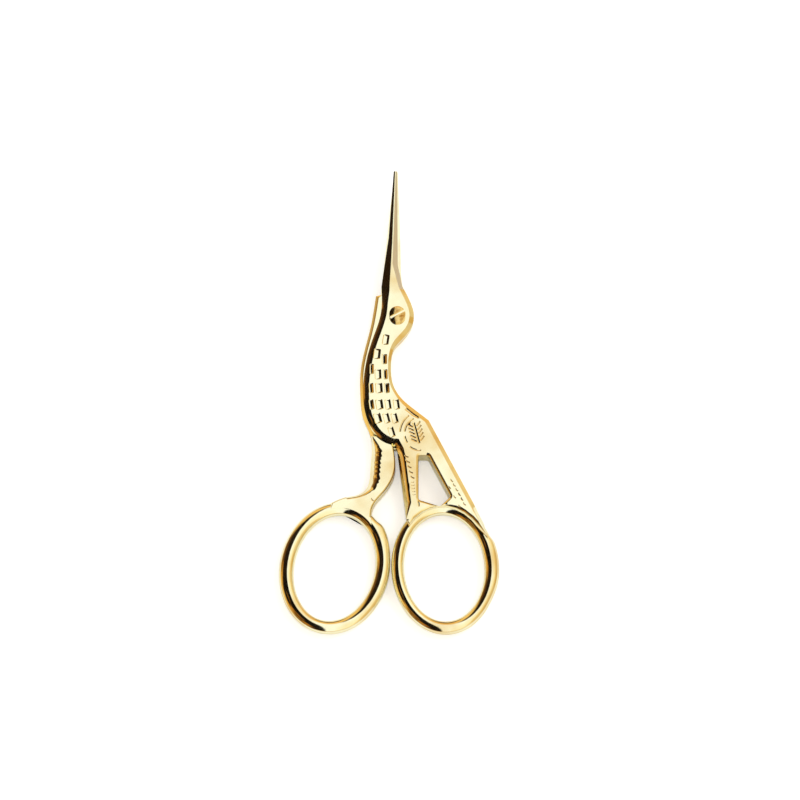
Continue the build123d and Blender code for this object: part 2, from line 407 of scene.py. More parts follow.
@dataclass
class Sizes:
    """Sizes of the scissors in millimetres, as in the frame. Pairs of shares are of a width and a length."""

    plate: float = 2.0
    front_low: float = 2.05
    front_high: float = 4.05
    front_limb_low: float = 0.6         # how low the front half's tail and leg reach
    back_limb_high: float = 3.45        # how high the back half's leg reaches
    middle: float = 2.025               # height of the rings' middle
    bevel: float = 0.6                  # height of the flat bevel down the bird's back
    bevel_across: float = 0.85          # its width
    blade_length: float = 29.9
    blade_root: float = 6.0             # where the blades start, as seen from the pivot
    spine_reach: float = 3.05           # of the blade's root to the left
    edge_reach: float = 1.0             # of the blade's root to the right
    head_radius: float = 3.15
    body_length: float = 26.3           # from the pivot to the bird's heel
    body_width: float = 6.45
    tail_width: float = 5.95
    hip_share: float = 0.795            # of the body's length
    shoulder_width: float = 4.2
    hidden_inset: float = 0.35          # how far the back half stays inside the bird's back
    limb_gap: float = 0.15              # between one half's leg or tail and the other half's body
    leg_length: float = 10.5
    leg_width: float = 4.3
    fork_gap: float = 0.75              # how far left of the pivot the left leg stays
    opening_width: float = 15.1
    opening_height: float = 21.1
    left_side: float = 2.85             # band width at the sides of the left ring
    right_side: float = 2.45            # the same at the right ring
    ring_end: float = 2.55              # band width at both ends of both rings
    ring_thickness: float = 2.6
    ring_meeting: float = 1.25          # how far left of the pivot the rings meet
    ring_gap: float = 0.15
    left_lean: float = 11.5             # degrees by which the left ring's foot leans outwards
    right_lean: float = 3.0
    tail_end: Point = (52.0, 1.05)      # where the tail meets the right ring: angle, and share of the band
    crown_shares: tuple[Point, ...] = ((0.76, 0.118), (1.0, 0.004), (0.70, -0.114), (-0.20, -0.25))
    nape_shares: tuple[Point, ...] = ((-0.39, -0.39), (-0.26, -0.525), (0.16, -0.616), (1.0, -0.709))

    def half_spread(self, lean: float, side: float) -> float:
        """Half the width across of a ring that leans by some degrees.

        Args:
            lean: the ring's lean.
            side: its band width.

        Returns:
            Half the width across.
        """
        across = (self.opening_width / 2 + side) * math.cos(math.radians(lean))
        along = (self.opening_height / 2 + self.ring_end) * math.sin(math.radians(lean))
        return math.hypot(across, along)

    @property
    def ring_y(self) -> float:
        """Place along of both rings' centres."""
        return -(self.body_length + self.leg_length + self.opening_height / 2 + self.ring_end)

    @property
    def left_ring(self) -> Ring:
        """Place, turn in degrees and band width of the left ring."""
        x = -self.ring_meeting - self.ring_gap / 2 - self.half_spread(self.left_lean, self.left_side)
        return x, self.ring_y, -self.left_lean, self.left_side

    @property
    def right_ring(self) -> Ring:
        """Place, turn in degrees and band width of the right ring."""
        x = -self.ring_meeting + self.ring_gap / 2 + self.half_spread(self.right_lean, self.right_side)
        return x, self.ring_y, self.right_lean, self.right_side

    def ring_point(self, ring: Ring, angle: float, share: float) -> Point:
        """Point of a ring's band: degrees from its top towards +X, and share of the band from the opening.

        Args:
            ring: place, turn and band width.
            angle: degrees from the ring's top towards +X.
            share: share of the band, from the opening.

        Returns:
            The point.
        """
        x, y, turn, side = ring
        across = (self.opening_width / 2 + share * side) * math.sin(math.radians(angle))
        along = (self.opening_height / 2 + share * self.ring_end) * math.cos(math.radians(angle))
        tilt = math.radians(turn)
        return (
            x + across * math.cos(tilt) - along * math.sin(tilt),
            y + across * math.sin(tilt) + along * math.cos(tilt),
        )

    def ring_arc(self, ring: Ring, start: float, end: float, share: float, count: int = 10) -> list[Point]:
        """Points along a ring's band between two angles, without the last."""
        return [self.ring_point(ring, start + (end - start) * i / count, share) for i in range(count)]

    def places(self, shares: tuple[Point, ...], width: float) -> list[Point]:
        """Outline points from shares of one width and of the body's length."""
        return [(width * across, self.body_length * along) for across, along in shares]

    def bird_back(self) -> list[Point]:
        """Crown and nape of the bird, from the blade's root to the hip."""
        outline = self.places(self.crown_shares + self.nape_shares, self.head_radius)
        return [(self.edge_reach, self.blade_root)] + outline + [self.tail_line()[0]]

    def tail_line(self) -> tuple[Point, Point]:
        """Start of the tail's straight edge at the hip, and its end on the right ring."""
        hip = (self.tail_width, -self.hip_share * self.body_length)
        return hip, self.ring_point(self.right_ring, *self.tail_end)


@dataclass(frozen=True)
class Station:
    """Section of a blade. Everything is a share: along of the blade's length, spine and edge of the reach at
    their sides, ridge and land of the width, and the three heights of the plate's thickness.
    """

    along: float
    spine: float
    edge: float
    ridge: float
    land: float
    spine_high: float
    edge_high: float
    crest: float


@dataclass(frozen=True)
class Pad:
    """Swelling of a ring's outer side, in degrees from its top, and how far it stands out."""

    start: float
    end: float
    stand: float
    rise: float = 9.0
    fall: float = 32.0

    def height(self, angle: float) -> float:
        """How far the ring stands out at one angle from its top.

        Args:
            angle: degrees from the ring's top.

        Returns:
            The height.
        """
        angle %= 360
        return (
            blend(self.start, self.start + self.rise, angle) * blend(self.end, self.end - self.fall, angle)
            * self.stand
        )


@dataclass(frozen=True)
class Tick:
    """Short engraved stroke: its width, and its middle and end as seen from its start."""

    width: float
    middle: Point
    end: Point

    def at(self, x: float, y: float) -> Stroke:
        """Return the stroke that starts at one point."""
        return self.width, [(x, y)] + [(x + dx, y + dy) for dx, dy in (self.middle, self.end)]


@dataclass
class Piece:
    """What every piece shares: the scissors' sizes and how it is finished. All angles are in degrees."""

    sizes: Sizes
    smooth_below: float = 32.0

    def finish(self, piece: Object, material: Material) -> Object:
        """Merge doubles, shade, bring to metres and dress one finished piece.

        Args:
            piece: the piece, in millimetres.
            material: its material.

        Returns:
            The same piece, in metres.
        """
        edit(piece)
        bpy.ops.mesh.select_all(action="SELECT")
        bpy.ops.mesh.remove_doubles(threshold=MERGE)
        bpy.ops.mesh.dissolve_degenerate(threshold=SLIVER)
        bpy.ops.mesh.normals_make_consistent(inside=False)
        close(piece)
        for layer in (PLACE, LEVEL):
            if layer in piece.data.attributes:
                piece.data.attributes.remove(piece.data.attributes[layer])
        piece.scale = (MM, MM, MM)
        only(piece)
        bpy.ops.object.transform_apply(location=True, rotation=True, scale=True)
        bpy.ops.object.shade_smooth_by_angle(angle=math.radians(self.smooth_below))
        step = piece.modifiers.new("normals", "WEIGHTED_NORMAL")
        step.keep_sharp = True
        bpy.ops.object.modifier_apply(modifier=step.name)
        piece.data.materials.clear()
        piece.data.materials.append(material)
        return piece


@dataclass
class Half(Piece):
    """What both halves share: how their blades, rings and grooves are made."""

    layer: Layer = Layer.FRONT
    sharp: Rim = Rim(0.005, 0.005)
    ring_segments: int = 200
    section_segments: int = 40
    ring_crest_share: float = 0.12      # of the section's height, a straight slope up to the crest
    ring_fullness: float = 2.3          # exponent of the section's oval, 2 for an ellipse
    ring_lean_share: float = 0.22       # of half the band, how far the hand-polished crest lies towards +X
    ring_half_share: float = 0.498      # of the band, a hair below half, so that it stays inside the solid
    groove_end_share: float = 0.9       # of a groove's width, at its two ends
    groove_wall: Point = (0.42, 0.2)    # width and height of a groove's walls, in widths
    groove_depth: float = 0.19          # in widths
    groove_over: float = 0.4
    bevel_reach: Point = (5.4, 26.0)    # where along the blade the ground bevel is bare
    bevel_slope: Point = (0.15, 0.9)    # how far its normal leans
    bevel_clear: float = 3.6            # distance from the pivot
    hole_segments: int = 48
    hole_depth: float = 20.0

    def blade_station(self, at: Station) -> Section:
        """Section of this half's blade. The back blade is the front one turned over, with its rims below.

        Args:
            at: the section's shares.

        Returns:
            Its left and right corner, and the heights of its two faces.
        """
        sizes, front = self.sizes, self.layer is Layer.FRONT
        y = sizes.blade_root + at.along * (sizes.blade_length - sizes.blade_root)
        far, near = (at.spine, at.edge) if front else (at.edge, at.spine)
        left, right = -far * sizes.spine_reach, near * sizes.edge_reach
        width = right - left
        facet = Rim(at.ridge * width, (at.crest - at.spine_high) * sizes.plate)
        ground = Rim((1 - at.land) * width, (at.crest - at.edge_high) * sizes.plate)
        if front:
            rims = (facet, self.sharp), (ground, self.sharp)
            low, high = sizes.front_low, sizes.front_low + at.crest * sizes.plate
        else:
            rims = (self.sharp, ground), (self.sharp, facet)
            low, high = sizes.plate - at.crest * sizes.plate, sizes.plate
        first = Corner(left, y, *rims[0], Vector((1, 0, 0)))
        return first, Corner(right, y, *rims[1], Vector((-1, 0, 0))), low, high

    def finger_ring(self, name: str, ring: Ring, pad: Pad) -> Object:
        """Oval finger ring: a torus whose section is drawn to a full oval with a soft crest.

        Args:
            name: the object's name.
            ring: place, turn and band width.
            pad: the pad on its outer side.

        Returns:
            The ring.
        """
        sizes, crest, power = self.sizes, self.ring_crest_share, 2 / self.ring_fullness
        bpy.ops.mesh.primitive_torus_add(
            major_segments=self.ring_segments, minor_segments=self.section_segments,
            major_radius=1.0, minor_radius=0.25,
        )
        band = bpy.context.object
        band.name = name
        shape = edit(band)
        for vert in shape.verts:
            angle = math.degrees(math.atan2(vert.co.x, vert.co.y))
            turn = math.atan2(vert.co.z, math.hypot(vert.co.x, vert.co.y) - 1.0)
            out = math.copysign(abs(math.cos(turn)) ** power, math.cos(turn))
            up = abs(math.sin(turn)) ** power
            up = (1 - crest) * up + crest * (1 - abs(out))
            shift = self.ring_lean_share * math.sin(math.radians(angle - ring[2]))
            out = shift + out * (1 - shift if out > 0 else 1 + shift)
            swell = pad.height(angle) / ring[3] * max(0.0, out)
            x, y = sizes.ring_point(ring, angle, 0.5 + self.ring_half_share * out + swell)
            vert.co = (x, y, sizes.middle + math.copysign(up, turn) * sizes.ring_thickness / 2)
        return close(band, outwards=True)

    def engrave(self, piece: Object, strokes: list[Stroke], high: float) -> None:
        """Cut tapering grooves into a flat face.

        Args:
            piece: the piece.
            strokes: width and centre line of each groove.
            high: height of the face.
        """
        for width, line in strokes:
            left, right = [], []
            for i, (x, y) in enumerate(line):
                before, after = line[max(0, i - 1)], line[min(len(line) - 1, i + 1)]
                along = unit(after[0] - before[0], after[1] - before[1])
                half = width / 2 * (self.groove_end_share if i in (0, len(line) - 1) else 1.0)
                left.append((x - along.y * half, y + along.x * half))
                right.append((x + along.y * half, y - along.x * half))
            wall = Rim(self.groove_wall[0] * width, self.groove_wall[1] * width)
            corners = [Corner(x, y, Rim(), wall) for x, y in right + left[::-1]]
            groove = struck("groove", corners, high - self.groove_depth * width, high + self.groove_over)
            combine(piece, groove, Cut.TAKE)

    def drill(self, piece: Object, radius: float) -> None:
        """Bore a round hole right through a piece at the pivot.

        Args:
            piece: the piece.
            radius: the hole's radius.
        """
        size = {"vertices": self.hole_segments, "radius": radius, "depth": self.hole_depth}
        bpy.ops.mesh.primitive_cylinder_add(**size)
        combine(piece, bpy.context.object, Cut.TAKE)

    def ground(self, piece: Object, steel: Material) -> None:
        """Give the blade's ground bevel its own finish: bare steel, except at the plated tip.

        Args:
            piece: the finished half.
            steel: the steel.
        """
        piece.data.materials.append(steel)
        for face in piece.data.polygons:
            x, y, z = face.center / MM
            up = face.normal
            leans = self.bevel_slope[0] < abs(up.x) < self.bevel_slope[1] and up.x * up.z > 0
            bare = self.bevel_reach[0] < y < self.bevel_reach[1] and math.hypot(x, y) > self.bevel_clear
            if leans and bare and (up.z > 0) == (z > self.sizes.front_low):
                face.material_index = 1


@dataclass
class FrontHalf(Half):
    """The half with the bird's face: blade, head, neck, wing, tail, right leg and right ring.

    A blend is a pair of places between which one rim turns into another. A foot is where an outline meets
    a ring: one or two angles, and a share of the band.
    """

    breast_shares: tuple[Point, ...] = ((-0.49, 0.02), (-0.75, -0.19), (-0.97, -0.43), (-1.0, -0.65))
    heel_shares: tuple[Point, ...] = ((-0.80, -0.838), (-0.40, -0.949), (-0.08, -0.977))
    fork_share: float = 0.06
    waist_shares: Point = (0.30, 1.08)
    breast_rim: Rim = Rim(1.2, 0.42, 1.5)
    leg_rim: Rim = Rim(1.4, 1.3, 2.0)
    foot_rim: Rim = Rim(0.9, 0.9, 3.0)
    neck_rim: Rim = Rim(0.55, 0.42)
    tail_rim: Rim = Rim(0.9, 1.3, 1.6)
    under_rim: Rim = Rim(0.05, 0.05)
    root_blend: Point = (6.0, 2.0)
    leg_blend: Point = (-26.0, -28.5)
    neck_blends: tuple[Point, Point] = ((-4.5, -8.0), (-18.5, -15.0))
    tail_blend: Point = (4.5, 0.5)
    crown_blend: Point = (6.0, 4.0)
    leg_foot: Point = (-43.0, 0.9)
    ring_foot: tuple[float, float, float] = (-46.0, 62.0, 0.42)
    tail_foot: Point = (66.0, 0.72)
    limb_rims: tuple[Rim, Rim] = (Rim(0.01, 0.01), Rim(0.35, 0.35))
    limb_lap: float = 0.3
    tail_bar: float = 3.35              # width of the tail beside the window
    window_top: float = 1.7
    window_foot: float = 1.2
    window_left: float = 4.0            # place across of its upright side
    # Shares: length of its left side, length of its right side, and width at its foot
    window_shares: tuple[float, float, float] = (0.87, 0.81, 0.68)
    window_round: float = 0.4
    window_rim: Rim = Rim(0.55, 0.4, 0.5)
    window_over: float = 1.0
    feather_width: float = 1.25
    feather_height: float = 2.1
    feather_round: float = 0.3
    feather_depth: float = 0.18
    feather_walls: Point = (0.12, 0.46)     # width of the walls at the left and at the right
    feather_blend_shares: Point = (-0.2, 0.8)
    feather_over: float = 0.6
    medallion: Point = (4.1, -23.7)
    medallion_size: Point = (2.75, 3.2)
    fine: float = 0.42                  # width of a light engraved line
    strong: float = 0.6                 # width of a heavy one
    nape_width: float = 0.75
    # Arcs round the medallion: size as a share, and start and end in degrees
    arcs: tuple[tuple[float, float, float], ...] = (
        (1.0, 112, 174), (1.0, 188, 216), (1.05, 232, 278), (1.32, 122, 176), (1.0, 60, 92),
    )
    arc_steps: int = 9
    quill_way: Point = (0.26, -1.0)
    quill_shift: float = 0.5
    quill_places: tuple[float, ...] = (-2.3, -0.8, 0.7, 2.1)
    barbs: int = 5
    barb_start: float = -1.4
    barb_pitch: float = 0.75
    barb_gap: float = 0.34
    barb_reach: Point = (0.95, 0.75)        # across and back along the quill
    tail_tick: Tick = Tick(0.28, (0.12, -0.4), (0.5, -0.62))
    tail_ticks: int = 6
    tail_tick_start: float = 12.4
    tail_tick_pitch: float = 1.05
    tail_tick_insets: Point = (1.75, 2.75)
    leg_ticks: int = 5
    # Two rows down the leg: the stroke, its first place, and the step to the next one
    leg_rows: tuple[tuple[Tick, Point, Point], ...] = (
        (Tick(0.32, (0.32, -0.35), (0.8, -0.5)), (1.3, -28.0), (0.28, -1.05)),
        (Tick(0.26, (0.3, -0.05), (0.6, 0.0)), (2.55, -33.4), (0.07, -0.62)),
    )
    foot_line: tuple[Point, ...] = ((3.8, -37.0), (4.0, -37.6), (4.05, -38.3))
    nape_line: tuple[Point, ...] = ((1.5, -18.7), (2.3, -19.3), (3.0, -19.95), (4.1, -20.55))
    bore: float = 1.14
    pad: Pad = Pad(62.0, 128.0, 0.392)
    # Rows of pockets: place along as a share of the body's length, slant in degrees, then for each pocket
    # its place across as a share of the body's width, and its width as a share of the common one
    rows: tuple[tuple[float, float, tuple[Point, ...]], ...] = (
        (-0.185, -8.0, ((-0.34, 1.0),)),
        (-0.294, -6.0, ((-0.60, 1.1),)),
        (-0.334, 0.0, ((-0.38, 0.8),)),
        (-0.409, 0.0, ((-0.755, 0.66),)),
        (-0.450, 2.0, ((-0.570, 1.02), (-0.355, 0.7))),
        (-0.555, 4.0, ((-0.77, 0.72), (-0.54, 1.12), (-0.31, 0.8))),
        (-0.680, 8.0, ((-0.76, 0.75), (-0.53, 1.15), (-0.275, 0.92), (-0.03, 0.95))),
        (-0.785, 14.0, ((-0.58, 1.15), (-0.32, 0.95), (-0.08, 0.95))),
        (-0.890, 16.0, ((-0.17, 0.9),)),
    )
    blade: tuple[Station, ...] = (
        Station(0.00, 1.00, 1.00, 0.40, 0.80, 0.74, 0.70, 1.00),
        Station(0.19, 0.80, 0.06, 0.48, 0.60, 0.70, 0.50, 0.88),
        Station(0.42, 0.55, 0.03, 0.40, 0.53, 0.60, 0.40, 0.70),
        Station(1.00, 0.235, -0.05, 0.36, 0.60, 0.235, 0.17, 0.275),
    )

    def outline(self) -> list[Corner]:
        """Outline of head, body, tail and leg, anticlockwise from the blade's left to its right.

        Returns:
            Its corners, with their rims.
        """
        sizes = self.sizes
        left, right, _, _ = self.blade_station(self.blade[0])
        ring = sizes.right_ring
        hip, tail_end = sizes.tail_line()
        fork = (0.0, -sizes.body_length - sizes.leg_length * self.fork_share)
        across, along = self.waist_shares
        waist = (sizes.leg_width * across, -sizes.body_length - sizes.leg_length * along)
        shares = self.breast_shares + self.heel_shares
        front = [(left.x, left.y)] + sizes.places(shares, sizes.body_width)
        flat = Rim(sizes.bevel_across, sizes.bevel)
        corners = [left]
        for x, y in curve_through(front)[1:]:
            corners.append(Corner(x, y, left.upper.towards(self.breast_rim, blend(*self.root_blend, y))))
        leg = straight(front[-1], fork) + straight(fork, waist) + [waist]
        for x, y in leg:
            corners.append(Corner(x, y, self.breast_rim.towards(self.leg_rim, blend(*self.leg_blend, y))))
        corners += [Corner(*sizes.ring_point(ring, *self.leg_foot))]
        corners += [Corner(x, y, self.foot_rim) for x, y in sizes.ring_arc(ring, *self.ring_foot)]
        corners += [Corner(*sizes.ring_point(ring, *self.tail_foot), self.foot_rim)]
        back = straight(tail_end, hip) + [hip] + curve_through(sizes.bird_back())[:0:-1]
        for x, y in back:
            near = blend(*self.tail_blend, math.hypot(x - tail_end[0], y - tail_end[1]))
            start, end = self.neck_blends
            neck = flat.towards(self.neck_rim, blend(*start, y) * blend(*end, y))
            corners.append(Corner(x, y, neck.towards(self.tail_rim, near)))
        for corner in corners[1:]:
            corner.lower = self.under_rim
            if corner.y > self.crown_blend[1] and corner.x > 0:
                corner.upper = right.upper.towards(flat, blend(*self.crown_blend, corner.y))
        return corners + [right]

    def limb(self) -> Object:
        """Tail and leg below the shear plane, clear of the other half's body.

        Returns:
            The limb.
        """
        sizes = self.sizes
        clear = sizes.body_length + sizes.limb_gap
        outside = [(c.x, c.y) for c in self.outline() if math.hypot(c.x, c.y) > clear]
        under = arc(sizes.body_length, outside[-1], outside[0])
        shape = [Corner(x, y, *self.limb_rims) for x, y in outside + under]
        set_inwards(shape)
        shift_inwards(shape, INSIDE)
        return struck("front_limb", shape, sizes.front_limb_low, sizes.front_low + self.limb_lap)

    def window_outline(self) -> list[Corner]:
        """Outline of the opening between the right leg and the tail.

        Returns:
            Its corners.
        """
        sizes = self.sizes
        (x, y), end = sizes.tail_line()
        way = unit(end[0] - x, end[1] - y)
        x, y = x + way.y * self.tail_bar, y - way.x * self.tail_bar
        high = -(sizes.body_length + self.window_top)
        low = sizes.ring_y + sizes.opening_height / 2 + self.window_foot
        height, left = high - low, self.window_left

        def slant(level: float) -> float:
            """Place across of the slanting side at one level."""
            return x + (level - y) * way.x / way.y

        left_share, right_share, foot_share = self.window_shares
        right = high - right_share * height
        outline = [
            (left, high),
            (left, high - left_share * height),
            (left + foot_share * (slant(right) - left), low),
            (slant(right), right),
            (slant(high), high),
        ]
        return [Corner(x, y) for x, y in rounded(outline, self.window_round)]

    def window_cutters(self) -> list[Object]:
        """Cutters for that opening, right through, and for its rounded upper edge.

        Returns:
            The two cutters.
        """
        sizes, rim = self.sizes, self.window_rim
        high = sizes.front_high + self.window_over
        through = struck("window", self.window_outline(), sizes.front_limb_low - self.window_over, high)
        corners = self.window_outline()
        for corner in corners:
            corner.lower = Rim(rim.width + INSIDE, rim.height + INSIDE / 2, rim.power)
        set_inwards(corners)
        shift_inwards(corners, -rim.width)
        return [through, struck("window_rim", corners, sizes.front_high - rim.height, high)]

    def medallion_strokes(self) -> list[Stroke]:
        """Broken oval lines on the wing, round a single quill with its barbs.

        Returns:
            The strokes.
        """
        x, y = self.medallion
        lines = []
        for reach, start, end in self.arcs:
            steps = self.arc_steps
            turns = [math.radians(start + (end - start) * i / steps) for i in range(steps + 1)]
            wide, tall = reach * self.medallion_size[0], reach * self.medallion_size[1]
            lines.append((self.fine, [(x + wide * math.cos(t), y + tall * math.sin(t)) for t in turns]))
        quill = unit(*self.quill_way)
        side = Vector((-quill.y, quill.x, 0))
        middle = Vector((x - self.quill_shift, y, 0))
        lines.append((self.strong, [tuple(middle + quill * at)[:2] for at in self.quill_places]))
        for i in range(self.barbs):
            for hand in (-1, 1):
                foot = middle + quill * (self.barb_pitch * i + self.barb_start) + side * hand * self.barb_gap
                tip = foot + side * hand * self.barb_reach[0] - quill * self.barb_reach[1]
                lines.append((self.fine, [tuple(place)[:2] for place in (foot, (foot + tip) / 2, tip)]))
        return lines

    def strokes(self) -> list[Stroke]:
        """Every engraved line: in the medallion, down tail and leg, by the window and at the nape.

        Returns:
            The strokes.
        """
        lines = self.medallion_strokes()
        (hx, hy), (ex, ey) = self.sizes.tail_line()
        way = unit(ex - hx, ey - hy)
        for i in range(self.tail_ticks):
            at = self.tail_tick_start + self.tail_tick_pitch * i
            for inset in self.tail_tick_insets[: 1 + i % 2]:
                place = hx + way.x * at + way.y * inset, hy + way.y * at - way.x * inset
                lines.append(self.tail_tick.at(*place))
        for i in range(self.leg_ticks):
            for tick, (x, y), (dx, dy) in self.leg_rows:
                lines.append(tick.at(x + dx * i, y + dy * i))
        return lines + [(self.fine, list(self.foot_line)), (self.nape_width, list(self.nape_line))]

    def feathers(self) -> list[Object]:
        """Cutters for the slanted pockets down the neck and breast.

        Returns:
            One cutter for each pocket.
        """
        sizes, depth = self.sizes, self.feather_depth
        across, along = self.feather_width / 2, self.feather_height / 2
        low, high = (share * across for share in self.feather_blend_shares)
        thin, broad = (Rim(width, depth) for width in self.feather_walls)
        outline = [(-across, -along), (across, -along), (across, along), (-across, along)]
        corners = [
            Corner(x, y, Rim(), thin.towards(broad, blend(low, high, x)))
            for x, y in rounded(outline, self.feather_round)
        ]
        pocket = struck("pocket", corners, sizes.front_high - depth, sizes.front_high + self.feather_over)
        pockets = []
        for row, slant, places in self.rows:
            for place, width in places:
                copy = bpy.data.objects.new("pocket", pocket.data.copy())
                bpy.context.scene.collection.objects.link(copy)
                copy.location = (place * sizes.body_width, row * sizes.body_length, 0)
                copy.rotation_euler.z = math.radians(slant)
                copy.scale.x = width
                pockets.append(copy)
        bpy.data.objects.remove(pocket)
        return pockets

    def build(self, material: Material, steel: Material) -> Object:
        """Make the whole half.

        Args:
            material: its gold plate.
            steel: the bare steel of its ground bevel.

        Returns:
            The finished piece.
        """
        sizes = self.sizes
        corners = self.outline()
        piece = struck("stork_front", corners, sizes.front_low, sizes.front_high)
        ends = (0, len(corners) - 1)
        tapered(piece, ends, [self.blade_station(station) for station in self.blade[1:]])
        for pocket in self.feathers():
            combine(piece, pocket, Cut.TAKE)
        self.engrave(piece, self.strokes(), sizes.front_high)
        combine(piece, self.limb(), Cut.ADD)
        combine(piece, self.finger_ring("right_ring", sizes.right_ring, self.pad), Cut.ADD)
        for cutter in self.window_cutters():
            combine(piece, cutter, Cut.TAKE)
        self.drill(piece, self.bore)
        self.finish(piece, material)
        self.ground(piece, steel)
        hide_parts("front_half")
        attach(piece, "front")
        return piece


@dataclass
class BackHalf(Half):
    """The half beneath: blade, shoulder, body, left leg and left ring, with blends and feet as in front."""

    layer: Layer = Layer.BACK
    breast_shares: tuple[Point, ...] = (
        (-0.767, -0.92), (-0.857, -0.844), (-0.998, -0.76), (-1.085, -0.608),
        (-1.093, -0.418), (-0.974, -0.24), (-0.806, -0.072), (-0.70, 0.095),
    )
    inner_leg_shares: tuple[Point, ...] = ((-0.05, 0.46), (0.20, 0.71), (0.50, 0.88), (0.84, 1.06))
    outer_leg_shares: tuple[Point, ...] = (
        (2.05, 0.925), (1.50, 0.87), (1.22, 0.76), (1.06, 0.57), (1.0, 0.27),
    )
    blade: tuple[Station, ...] = (
        Station(0.00, 0.90, 1.02, 0.40, 0.84, 0.40, 0.70, 1.00),
        Station(0.19, 0.62, 0.84, 0.42, 0.60, 0.30, 0.10, 0.88),
        Station(0.42, 0.56, 0.66, 0.36, 0.53, 0.25, 0.08, 0.70),
        Station(1.00, 0.06, 0.20, 0.40, 0.63, 0.10, 0.04, 0.275),
    )
    shoulder_inset: float = 0.1
    shoulder_drop: float = 1.2
    outer_foot: Point = (-20.0, 0.9)
    ring_foot: tuple[float, float, float] = (-20.0, 36.0, 0.42)
    top_rim: Rim = Rim(0.12, 0.12)
    ring_rim: Rim = Rim(0.6, 0.48, 1.1)
    ring_blend: Point = (-36.0, -34.0)
    knurl_reach: Point = (-26.2, -34.4)
    knurl_pitch: float = 0.87
    knurl_depth: float = 0.4
    leg_low: float = 1.2
    leg_start_share: float = 0.93
    leg_end_slack: float = 0.001
    heel_sides: Point = (-5.5, -0.9)
    heel_low: float = -26.5
    heel_steps: int = 6
    heel_rim: Rim = Rim(0.1, 0.1)
    inner_rim: Rim = Rim(0.3, 0.3, 1.5)
    hip_rim: Rim = Rim(0.3, 0.4, 2.0)
    shin_rim: Rim = Rim(2.0, 1.5, 2.0)
    ankle_rim: Rim = Rim(0.8, 0.6, 2.0)
    end_rim: Rim = Rim(0.4, 0.4, 2.0)
    shin_blend: Point = (-24.4, -27.0)
    ankle_blend: Point = (-33.0, -36.0)
    end_reach: Point = (11.9, 14.0)     # from the ring's centre: where its end is rounded
    front_side: float = -5.0            # left of this the leg is rounded even where it turns down
    front_lean: Point = (0.2, -0.5)     # how far an edge's inward way leans, along X and along Y
    tick: Tick = Tick(0.3, (0.15, -0.35), (0.5, -0.6))
    tick_places: tuple[Point, ...] = ((-5.0, -36.4), (-4.3, -36.7), (-3.6, -37.2))
    bore: float = 0.92
    pad: Pad = Pad(34.0, 74.0, 0.45)

    def leg_places(self, shares: tuple[Point, ...]) -> list[Point]:
        """Outline points from shares of the left leg's width, from its inner edge, and of its length.

        Args:
            shares: the shares, from the leg's top down.

        Returns:
            The points, in the other order.
        """
        sizes = self.sizes
        return [
            (-sizes.fork_gap - across * sizes.leg_width, -sizes.body_length - along * sizes.leg_length)
            for across, along in shares[::-1]
        ]

    def outline(self) -> list[Corner]:
        """Outline of shoulder, body and leg, anticlockwise from the shoulder to the blade's left root.

        Returns:
            Its corners, with their rims.
        """
        sizes = self.sizes
        left, right, _, _ = self.blade_station(self.blade[0])
        ring = sizes.left_ring
        shoulder = (-sizes.shoulder_width + self.shoulder_inset, sizes.blade_root - self.shoulder_drop)
        front = [shoulder] + sizes.places(self.breast_shares[-2::-1], sizes.body_width)
        front += self.leg_places(self.outer_leg_shares) + [sizes.ring_point(ring, *self.outer_foot)]
        radius = sizes.body_length - sizes.limb_gap
        fork = (-sizes.fork_gap, -math.sqrt(radius**2 - sizes.fork_gap**2))
        inner = [sizes.ring_point(ring, *self.ring_foot[1:])]
        inner += self.leg_places(self.inner_leg_shares) + [fork]
        back = [(x - sizes.hidden_inset, y) for x, y in sizes.bird_back()]
        (x0, y0), (x1, y1) = sizes.tail_line()
        way = unit(x1 - x0, y1 - y0)
        x, y = back[-1]
        along = x * way.x + y * way.y
        run = -along + math.sqrt(along**2 - (x * x + y * y - radius * radius))
        rump = (x + run * way.x, y + run * way.y)
        outer = curve_through(front)
        points = outer + sizes.ring_arc(ring, *self.ring_foot)
        points += curve_through(inner) + arc(radius, fork, rump) + straight(rump, back[-1]) + [back[-1]]
        points += curve_through(back)[:0:-1]
        top, lower = self.top_rim, Rim(sizes.bevel, sizes.bevel)
        corners = [Corner(left.x, shoulder[1] + self.shoulder_inset, top, lower)]
        for i, (x, y) in enumerate(points):
            upper = top.towards(self.ring_rim, blend(*self.ring_blend, y)) if i < len(outer) else top
            corners.append(Corner(x, y, upper, lower))
        return corners + [right, left]

    def knurl(self, y: float) -> float:
        """How far the row of notches down the leg's front widens its rounding at one place along.

        Args:
            y: the place along.

        Returns:
            The widening, which may be negative.
        """
        first, last = self.knurl_reach
        if not last < y < first:
            return 0.0
        return self.knurl_depth * ((first - y) / self.knurl_pitch % 1.0 - 0.5)

    def leg_rim(self, corner: Corner, heel: list[Point]) -> Rim:
        """Rim of the left leg's upper part at one corner.

        Args:
            corner: the corner, with its inward direction.
            heel: the places along the bird's heel.

        Returns:
            The rim.
        """
        x, y, inward = corner.x, corner.y, corner.inward
        reach = math.hypot(x - self.sizes.left_ring[0], y - self.sizes.left_ring[1])
        if (x, y) in heel:
            return self.heel_rim
        if y < self.ankle_blend[1] and reach < self.end_reach[1]:
            return self.end_rim if reach > self.end_reach[0] else Rim()
        across, along = self.front_lean
        if inward.x > across or inward.y < along and x < self.front_side:
            broad = self.hip_rim.towards(self.shin_rim, blend(*self.shin_blend, y))
            broad = Rim(broad.width + self.knurl(y), broad.height, broad.power)
            return broad.towards(self.ankle_rim, blend(*self.ankle_blend, y))
        return self.inner_rim

